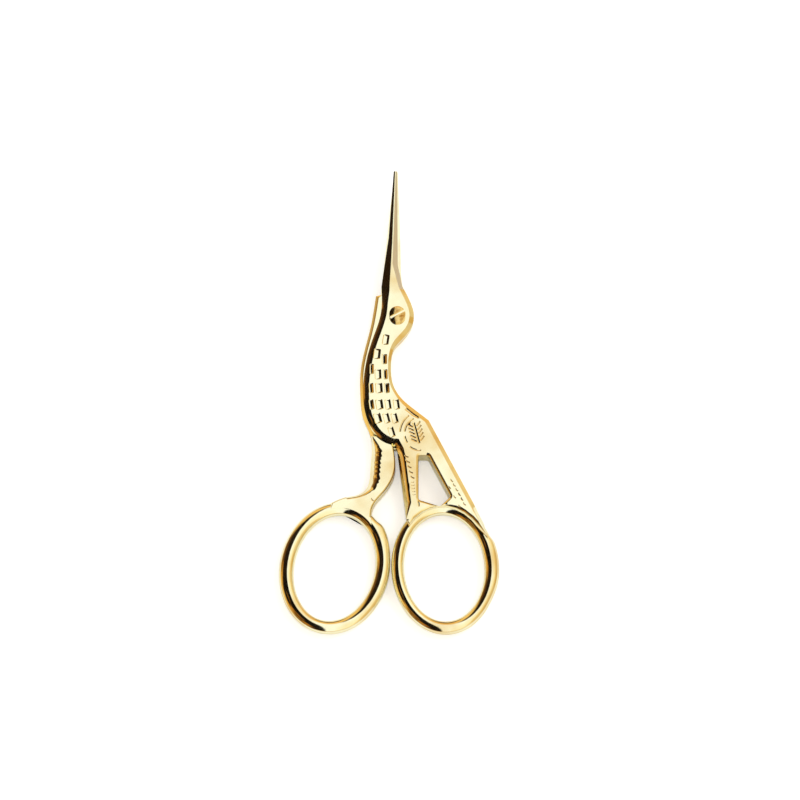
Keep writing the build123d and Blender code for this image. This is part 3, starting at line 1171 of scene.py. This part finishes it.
    def leg(self, corners: list[Corner]) -> Object:
        """Left leg, which rises beside the bird's heel to the height of its face.

        Args:
            corners: the half's whole outline.

        Returns:
            The leg's upper part.
        """
        sizes = self.sizes
        radius = sizes.body_length - sizes.limb_gap
        start, end = self.leg_start_share * radius, radius + self.leg_end_slack
        clear = 1 + sizes.limb_gap / sizes.body_length
        lowest = min(range(len(corners)), key=lambda i: corners[i].y)
        first = next(i for i, c in enumerate(corners) if math.hypot(c.x, c.y) > start)
        last = next(i for i, c in enumerate(corners) if i > lowest and math.hypot(c.x, c.y) < end)
        heel = [(c.x * clear, c.y * clear) for c in FrontHalf(sizes).outline()[::-1] if c.y < 0]
        low, high = self.heel_sides
        heel = [(x, y) for x, y in heel if low < x < high and math.hypot(x, y) > start and y > self.heel_low]
        points = [(c.x, c.y) for c in corners[first : last + 1]] + heel
        shape = [Corner(x, y) for x, y in points + arc(start, heel[-1], points[0], self.heel_steps)[1:]]
        set_inwards(shape)
        for corner in shape:
            corner.upper = self.leg_rim(corner, heel)
        shift_inwards(shape, INSIDE)
        return struck("left_leg", shape, self.leg_low, sizes.back_limb_high)

    def build(self, material: Material, steel: Material) -> Object:
        """Make the whole half.

        Args:
            material: its gold plate.
            steel: the bare steel of its ground bevel.

        Returns:
            The finished piece.
        """
        sizes = self.sizes
        corners = self.outline()
        piece = struck("stork_back", corners, 0.0, sizes.plate)
        ends = (len(corners) - 1, len(corners) - 2)
        tapered(piece, ends, [self.blade_station(station) for station in self.blade[1:]])
        combine(piece, self.leg(corners), Cut.ADD)
        combine(piece, self.finger_ring("left_ring", sizes.left_ring, self.pad), Cut.ADD)
        self.drill(piece, self.bore)
        self.engrave(piece, [self.tick.at(x, y) for x, y in self.tick_places], sizes.back_limb_high)
        self.finish(piece, material)
        self.ground(piece, steel)
        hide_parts("back_half")
        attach(piece, "back")
        return piece


@dataclass
class PivotScrew(Piece):
    """Slotted screw: head on the front half, shank and thread below it. It is the bird's eye."""

    head_radius: float = 1.55
    head_height: float = 1.1
    head_rim: Rim = Rim(1.2, 0.17, 2.0)
    seat: float = 4.08                  # a hair above the front half's face
    shank_radius: float = 1.1
    shank_low: float = 2.0
    thread_radius: float = 0.9
    thread_low: float = 0.1
    lap: float = 0.2                    # how far one part reaches into the next
    slot_size: tuple[float, float, float] = (4.2, 0.5, 1.0)
    slot_depth: float = 0.3
    slot_angle: float = 29.0
    segments: int = 64
    flat_share: float = 0.99            # how upright the normal of the slot's floor is
    flat_slack: float = 0.01

    def turned(self, name: str, radius: float, low: float, high: float, rim: Rim = Rim()) -> Object:
        """Round part about the pivot axis, with its upper edge finished.

        Args:
            name: the part's name.
            radius: its radius.
            low: height of its lower face.
            high: height of its upper face.
            rim: how its upper edge is finished.

        Returns:
            The part.
        """
        turns = [2 * math.pi * i / self.segments for i in range(self.segments)]
        corners = [Corner(radius * math.cos(turn), radius * math.sin(turn), rim) for turn in turns]
        return struck(name, corners, low, high)

    def build(self, material: Material, bright: Material) -> Object:
        """Make the screw.

        Args:
            material: its gold.
            bright: the paler gold, painted on the slot's floor as a highlight.

        Returns:
            The finished piece.
        """
        top = self.seat + self.head_height
        floor = top - self.slot_depth
        piece = self.turned("eye_screw", self.head_radius, self.seat, top, self.head_rim)
        bpy.ops.mesh.primitive_cube_add(size=1)
        slot = bpy.context.object
        slot.scale = self.slot_size
        slot.location = (0, 0, floor + self.slot_size[2] / 2)
        slot.rotation_euler.z = math.radians(self.slot_angle)
        combine(piece, slot, Cut.TAKE)
        shank = self.turned("shank", self.shank_radius, self.shank_low, self.seat + self.lap)
        combine(piece, shank, Cut.ADD)
        thread = self.turned("thread", self.thread_radius, self.thread_low, self.shank_low + self.lap)
        combine(piece, thread, Cut.ADD)
        self.finish(piece, material)
        # Painted highlight: the slot's floor takes the paler gold of the halves, standing in for the bright
        # reflection that lies there.
        piece.data.materials.append(bright)
        for face in piece.data.polygons:
            if face.normal.z > self.flat_share and abs(face.center.z / MM - floor) < self.flat_slack:
                face.material_index = 1
        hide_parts("pivot_screw")
        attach(piece, "back")
        return piece


def linear(code: str) -> tuple[float, float, float, float]:
    """Linear colour of an sRGB hex value.

    Args:
        code: the hex value, such as #FFFFFF.

    Returns:
        Red, green, blue and a full alpha.
    """
    parts = [int(code[i : i + 2], 16) / 255 for i in (1, 3, 5)]
    r, g, b = (p / 12.92 if p <= 0.04045 else ((p + 0.055) / 1.055) ** 2.4 for p in parts)
    return r, g, b, 1.0


def node(tree: NodeTree, kind: str, settings: dict[str, Any] | None = None, **links: Any) -> Node:
    """Add one node with its settings, values and links.

    Args:
        tree: the node tree.
        kind: Blender's name of the node.
        settings: its properties.
        links: socket name, or in_ and its number, to a value or another node's output.

    Returns:
        The node.
    """
    made = tree.nodes.new(kind)
    for name, value in (settings or {}).items():
        setattr(made, name, value)
    for name, value in links.items():
        socket = made.inputs[int(name[3:]) if name.startswith("in_") else name.replace("_", " ")]
        if isinstance(value, NodeSocket):
            tree.links.new(value, socket)
        else:
            socket.default_value = value
    return made


def cleared(owner: Material | World) -> NodeTree:
    """Switch a material or a world to nodes and return its empty tree.

    Args:
        owner: the material or world.

    Returns:
        Its tree.
    """
    owner.use_nodes = True
    owner.node_tree.nodes.clear()
    return owner.node_tree


def metal(tree: NodeTree, colour: Any, roughness: float, relief: NodeSocket, height_mm: float) -> None:
    """Finish a metal's node tree.

    Args:
        tree: the tree.
        colour: the metal's colour, or the output that gives it.
        roughness: how dull it is.
        relief: the pattern in its surface.
        height_mm: height of that pattern.
    """
    bump = node(tree, "ShaderNodeBump", Distance=height_mm * MM, Strength=1.0, Height=relief)
    shader = node(
        tree, "ShaderNodeBsdfPrincipled", Base_Color=colour, Metallic=1.0, Roughness=roughness,
        Normal=bump.outputs[0],
    )
    node(tree, "ShaderNodeOutputMaterial", Surface=shader.outputs[0])


@dataclass(frozen=True)
class Gold:
    """Bright gold plate over polished steel."""

    # Plated over hand-polished forgings: nearly a mirror, pale yellow with patches of deeper gold where the
    # plate is thin, and the faintest waves, which bend what it reflects
    name: str
    colour: str = "#FFF9D2"
    thin: str = "#EED59A"
    roughness: float = 0.09
    patch_mm: float = 9.0
    patch_range: Point = (0.47, 0.72)
    wave_mm: float = 1.9
    wave_height_mm: float = 0.015

    def material(self) -> Material:
        """Make the material.

        Returns:
            The material.
        """
        made = bpy.data.materials.new(self.name)
        tree = cleared(made)
        place = node(tree, "ShaderNodeTexCoord").outputs["Object"]
        waves = node(tree, "ShaderNodeTexNoise", Vector=place, Scale=1 / (self.wave_mm * MM), Detail=1.0)
        patches = node(tree, "ShaderNodeTexNoise", Vector=place, Scale=1 / (self.patch_mm * MM), Detail=3.0)
        low, high = self.patch_range
        tone = node(tree, "ShaderNodeMapRange", Value=patches.outputs[0], in_1=low, in_2=high)
        colour = node(tree, *MIX, in_0=tone.outputs[0], in_6=linear(self.colour), in_7=linear(self.thin))
        metal(tree, colour.outputs[2], self.roughness, waves.outputs[0], self.wave_height_mm)
        return made


@dataclass(frozen=True)
class GroundSteel:
    """Bare steel of the cutting bevels."""

    # Ground on a fine wheel: soft warm grey with lines across the blade. Real lines are some 0.03 mm apart.
    # They are drawn coarser, so that they show
    name: str = "ground_steel"
    colour: str = "#DEDAD0"
    roughness: float = 0.36
    line_mm: float = 0.12
    line_height_mm: float = 0.002
    stretch: tuple[float, float, float] = (0.2, 1.0, 0.2)

    def material(self) -> Material:
        """Make the material.

        Returns:
            The material.
        """
        made = bpy.data.materials.new(self.name)
        tree = cleared(made)
        place = node(tree, "ShaderNodeTexCoord").outputs["Object"]
        drawn = node(tree, "ShaderNodeMapping", Vector=place, Scale=self.stretch).outputs[0]
        lines = node(tree, "ShaderNodeTexNoise", Vector=drawn, Scale=1 / (self.line_mm * MM), Detail=2.0)
        metal(tree, linear(self.colour), self.roughness, lines.outputs[0], self.line_height_mm)
        return made


@dataclass(frozen=True)
class Card:
    """Part of the studio that the metal reflects: its colours along one axis of the view's direction, and the
    range of another value over which it takes over from the cards before it.
    """

    axis: str
    colours: tuple[tuple[float, str], ...]
    over: str = ""
    start: float = 0.0
    end: float = 1.0


@dataclass
class Studio:
    """Pale floor, soft light from above and the right, and the photograph's camera. Lengths are in metres."""

    elevation: float = 71.0
    distance: float = 1.5
    width_seen: float = 0.152           # across the picture, at the target
    film: float = 36.0                  # width of the camera's film, mm
    clips: Point = (0.05, 10.0)
    target: tuple[float, float, float] = (0.000494, -0.01632, 0.002)    # middle of the picture
    white: str = "#FFFFFF"
    laminate: str = "#F4F2EE"
    floor_size: float = 3.0
    floor_drop: float = 0.00005         # keeps the floor clear of the scissors' flat faces
    glow: float = 0.38                  # added to the floor for the camera alone
    world_strength: float = 1.05
    patch_scale: float = 2.6            # of the noise that sets the amber patches
    key_place: tuple[float, float, float] = (0.7, 0.3, 0.9)
    key_size: float = 0.5
    key_watts: float = 3.0
    bright: tuple[tuple[float, str], ...] = (
        (-0.11, "#FFFFFF"), (0.10, "#FFFFFF"), (0.16, "#FFFBEF"), (0.55, "#FFF3D2"),
    )
    # In order: the long light overhead with a dark card at its left, the same card in amber patches, a warmer
    # one towards the blade's end, the low walls, and the wall behind the tip
    cards: tuple[Card, ...] = (
        Card("X", (
            (-1.0, "#FFDD97"), (-0.93, "#F0C67C"), (-0.88, "#7A5420"), (-0.80, "#140D06"), (-0.15, "#0A0805"),
            *bright, (0.75, "#E6CB95"), (1.0, "#D2BE97"),
        )),
        Card("X", (
            (-1.0, "#FFDD97"), (-0.93, "#E9B964"), (-0.80, "#C48A38"), (-0.55, "#9A6426"), (-0.42, "#2A1808"),
            (-0.15, "#0A0805"), *bright, (0.75, "#DDB56C"), (1.0, "#C9A05C"),
        ), "patches", 0.50, 0.56),
        Card("X", (
            (-1.0, "#FFDD97"), (-0.90, "#E3B062"), (-0.80, "#8A5A24"), (-0.62, "#4A2C10"), (-0.45, "#1A0F06"),
            (-0.15, "#120B05"), *bright, (0.75, "#E6CB95"), (1.0, "#D2BE97"),
        ), "Y", 0.22, 0.72),
        Card("X", (
            (-1.0, "#D2AF74"), (-0.5, "#94703C"), (0.0, "#C79A5A"), (0.5, "#D8B880"), (1.0, "#D9C49A"),
        ), "Z", 0.22, 0.06),
        Card("Y", ((0.0, "#ECBF75"), (0.9, "#ECBF75"), (0.97, "#6B4520"), (1.0, "#6B4520")), "Y", 0.62, 0.78),
    )

    def camera(self) -> None:
        """Long lens, so that the view is nearly parallel, as the photograph is."""
        turn = math.radians(self.elevation)
        lens = bpy.data.cameras.new("camera")
        lens.sensor_width = self.film
        lens.lens = self.film * self.distance / self.width_seen
        lens.clip_start, lens.clip_end = self.clips
        taken = bpy.data.objects.new("camera", lens)
        bpy.context.scene.collection.objects.link(taken)
        away = Vector((0, -math.cos(turn), math.sin(turn)))
        taken.location = Vector(self.target) + away * self.distance
        taken.rotation_euler = (math.radians(90 - self.elevation), 0, 0)
        bpy.context.scene.camera = taken

    def reflections(self, tree: NodeTree) -> NodeSocket:
        """What the metal sees of the studio, one card laid over another.

        Args:
            tree: the world's node tree.

        Returns:
            Its colour.
        """
        way = node(tree, "ShaderNodeTexCoord").outputs["Generated"]
        values = dict(node(tree, "ShaderNodeSeparateXYZ", Vector=way).outputs.items())
        values["patches"] = node(
            tree, "ShaderNodeTexNoise", Vector=way, Scale=self.patch_scale, Detail=2.0
        ).outputs[0]
        seen = None
        for card in self.cards:
            low, high = card.colours[0][0], card.colours[-1][0]
            share = node(tree, "ShaderNodeMapRange", Value=values[card.axis], in_1=low, in_2=high)
            ramp = node(tree, "ShaderNodeValToRGB", Fac=share.outputs[0])
            stops = ramp.color_ramp.elements
            while len(stops) < len(card.colours):
                stops.new(0.5)
            for stop, (place, colour) in zip(stops, card.colours):
                stop.position, stop.color = (place - low) / (high - low), linear(colour)
            if seen is None:
                seen = ramp.outputs[0]
                continue
            over = node(
                tree, "ShaderNodeMapRange", {"interpolation_type": "SMOOTHSTEP"}, Value=values[card.over],
                in_1=card.start, in_2=card.end,
            )
            seen = node(tree, *MIX, in_0=over.outputs[0], in_6=seen, in_7=ramp.outputs[0]).outputs[2]
        return seen

    def world(self) -> None:
        """Studio for the metal, white behind the floor for the camera, and even pale light for the rest."""
        world = bpy.data.worlds.new("studio")
        bpy.context.scene.world = world
        tree = cleared(world)
        rays = node(tree, "ShaderNodeLightPath").outputs
        studio = self.reflections(tree)
        light = node(tree, *MIX, in_0=rays["Is Glossy Ray"], in_6=linear(self.laminate), in_7=studio)
        seen = node(tree, *MIX, in_0=rays["Is Camera Ray"], in_6=light.outputs[2], in_7=linear(self.white))
        back = node(tree, "ShaderNodeBackground", Color=seen.outputs[2], Strength=self.world_strength)
        node(tree, "ShaderNodeOutputWorld", Surface=back.outputs[0])

    def floor(self) -> None:
        """White table top that keeps the scissors' soft shadow."""
        bpy.ops.mesh.primitive_plane_add(size=self.floor_size, location=(0, 0, -self.floor_drop))
        floor = bpy.context.object
        floor.name = "table_top"
        # Matt laminate: an even white with no gloss, which the camera alone sees a little brighter
        made = bpy.data.materials.new("matt_white_laminate")
        tree = cleared(made)
        paint = node(tree, "ShaderNodeBsdfDiffuse", Color=linear(self.laminate))
        glow = node(tree, "ShaderNodeEmission", Color=linear(self.white), Strength=self.glow)
        both = node(tree, "ShaderNodeAddShader", in_0=paint.outputs[0], in_1=glow.outputs[0])
        path = node(tree, "ShaderNodeLightPath")
        mix = node(
            tree, "ShaderNodeMixShader", in_0=path.outputs["Is Camera Ray"],
            in_1=paint.outputs[0], in_2=both.outputs[0],
        )
        node(tree, "ShaderNodeOutputMaterial", Surface=mix.outputs[0])
        floor.data.materials.append(made)

    def lamp(self) -> None:
        """Soft key light from the upper right, which only casts the shadow."""
        light = bpy.data.lights.new("key", "AREA")
        light.energy, light.size = self.key_watts, self.key_size
        lamp = bpy.data.objects.new("key", light)
        bpy.context.scene.collection.objects.link(lamp)
        lamp.location = self.key_place
        lamp.rotation_euler = Vector(self.key_place).to_track_quat("Z", "Y").to_euler()
        lamp.visible_glossy = False

    def build(self) -> None:
        """Set up camera, world, floor and lamp."""
        self.camera()
        self.world()
        self.floor()
        self.lamp()
        bpy.context.scene.view_settings.view_transform = "Standard"


def main() -> None:
    """Build the scissors and the studio."""
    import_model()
    sizes = Sizes()
    gold = Gold("bright_gold_plate").material()
    # Plated over turned steel: deeper gold with small brown patches, a little less bright
    dark = Gold("gold_plated_screw", "#F2D48C", "#AF7A30", 0.12, patch_mm=0.9).material()
    steel = GroundSteel().material()
    halves = (FrontHalf(sizes).build(gold, steel), BackHalf(sizes).build(gold, steel))
    for piece in halves + (PivotScrew(sizes).build(dark, gold),):
        LOG.info("%s: %d faces", piece.name, len(piece.data.polygons))
    Studio().build()


if __name__ == "__main__":
    logging.basicConfig(level=logging.INFO, format="%(name)s %(message)s")
    main()
